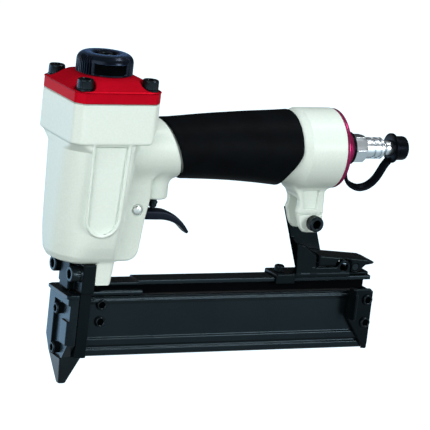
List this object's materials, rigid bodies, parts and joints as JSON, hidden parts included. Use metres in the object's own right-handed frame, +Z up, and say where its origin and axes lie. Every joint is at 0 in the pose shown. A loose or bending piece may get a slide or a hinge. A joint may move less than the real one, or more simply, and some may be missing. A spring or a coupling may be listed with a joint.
{
  "type": "pneumatic micro pin nailer",
  "caption": "Compressed-air pin nailer with a square head, turning exhaust cap, rubber grip, trigger, air plug with tethered dust cap and a slide-open pin magazine.",
  "frame": {"origin": "centre of the nose tip's face, where the pin leaves, on the drive line", "axes": "+Z up the drive line towards the head, +X along the magazine towards the air plug, -Y towards the side seen in the picture"},
  "size_m": [0.2085, 0.048, 0.1762],
  "materials": {
    "body_paint": "silver-white paint on cast aluminium",
    "red_paint": "gloss red paint on cast aluminium",
    "end_paint": "gloss crimson paint on turned aluminium",
    "gasket": "pressed fibre",
    "black_oxide": "black oxide",
    "black_steel": "satin black coated steel",
    "black_anodised": "black anodised extrusion",
    "black_plastic": "moulded, glossy",
    "trigger_plastic": "moulded, glossy",
    "valve_plastic": "moulded",
    "grip_rubber": "matte moulded",
    "rubber": "moulded",
    "bumper_rubber": "cast urethane",
    "aluminium": "turned",
    "steel": "ground",
    "brass": "turned",
    "chrome": "bright chrome plate"
  },
  "bodies": {
    "gun_body": {"body_casting": "body_paint", "cylinder_head": "red_paint", "head_gasket": "gasket", "head_screws": "black_oxide", "exhaust_screw": "black_oxide", "cylinder_sleeve": "aluminium", "sleeve_collar": "aluminium", "sleeve_seals": "rubber", "bumper": "bumper_rubber", "head_valve_spring": "steel", "trigger_pin": "steel", "valve_body": "brass", "valve_cap": "brass", "valve_seals": "rubber", "valve_spring": "steel", "grip_sleeve": "grip_rubber", "end_cap": "end_paint", "end_cap_seal": "rubber", "air_plug": "chrome", "cap_strap": "rubber", "nose_plate": "black_steel", "nose_front": "black_steel", "guide_strip": "black_steel", "strip_screws": "black_oxide", "lug_screws": "black_oxide", "nose_joint_screws": "black_oxide", "magazine_rail": "black_anodised", "rail_screws": "black_oxide", "rear_bracket": "black_steel", "bracket_screw": "black_oxide", "leg_screw": "black_oxide", "leg_nut": "black_oxide", "latch_pin": "black_oxide", "latch_spring": "steel"},
    "exhaust": {"exhaust_cap": "black_plastic"},
    "driver": {"piston": "aluminium", "piston_ring": "rubber", "driver_blade": "steel"},
    "head_valve_body": {"head_valve": "valve_plastic", "head_valve_ring": "rubber"},
    "trigger_lever": {"trigger": "trigger_plastic"},
    "stem": {"valve_stem": "black_oxide"},
    "slide": {"magazine_slide": "black_anodised", "slide_liner": "aluminium", "liner_screws": "black_oxide", "slide_end_plate": "black_steel", "end_plate_screws": "black_oxide", "pusher_rod": "steel", "pusher_spring": "steel"},
    "pusher_carriage": {"pusher": "steel"},
    "latch": {"latch_lever": "black_steel"},
    "inlet_cap": {"dust_cap": "rubber"}
  },
  "joints": [
    {"name": "exhaust_turn", "type": "hinge", "parent": "gun_body", "child": "exhaust", "pos_m": [0.0068, 0, 0.17], "axis": [0, 0, 1], "continuous": true},
    {"name": "driver_stroke", "type": "slide", "parent": "gun_body", "child": "driver", "axis": [0, 0, -1], "range_m": [0, 0.05]},
    {"name": "head_valve_lift", "type": "slide", "parent": "gun_body", "child": "head_valve_body", "axis": [0, 0, 1], "range_m": [0, 0.0035], "stiffness_N_per_m": 1500, "springref_m": -0.004, "deforming": ["head_valve_spring"]},
    {"name": "trigger_pull", "type": "hinge", "parent": "gun_body", "child": "trigger_lever", "pos_m": [0.0297, 0, 0.0951], "axis": [0, -1, 0], "range_deg": [0, 8], "stiffness_Nm_per_rad": 0.05, "springref_deg": -8.59},
    {"name": "stem_lift", "type": "slide", "parent": "gun_body", "child": "stem", "axis": [0, 0, 1], "range_m": [0, 0.00178], "deforming": ["valve_spring"]},
    {"name": "slide_draw", "type": "slide", "parent": "gun_body", "child": "slide", "axis": [1, 0, 0], "range_m": [0, 0.12]},
    {"name": "pusher_travel", "type": "slide", "parent": "slide", "child": "pusher_carriage", "axis": [1, 0, 0], "range_m": [0, 0.125], "stiffness_N_per_m": 30, "springref_m": -0.12, "deforming": ["pusher_spring"]},
    {"name": "latch_lift", "type": "hinge", "parent": "gun_body", "child": "latch", "pos_m": [0.1658, 0, 0.0618], "axis": [0, 1, 0], "range_deg": [0, 10], "stiffness_Nm_per_rad": 0.03, "springref_deg": -11.46},
    {"name": "inlet_cap_pull", "type": "slide", "parent": "gun_body", "child": "inlet_cap", "axis": [1, 0, 0], "range_m": [0, 0.015], "deforming": ["cap_strap"]}
  ],
  "couplings": [
    {"joint": "trigger_pull", "follows": "stem_lift", "rad_per_m": 78.125}
  ]
}
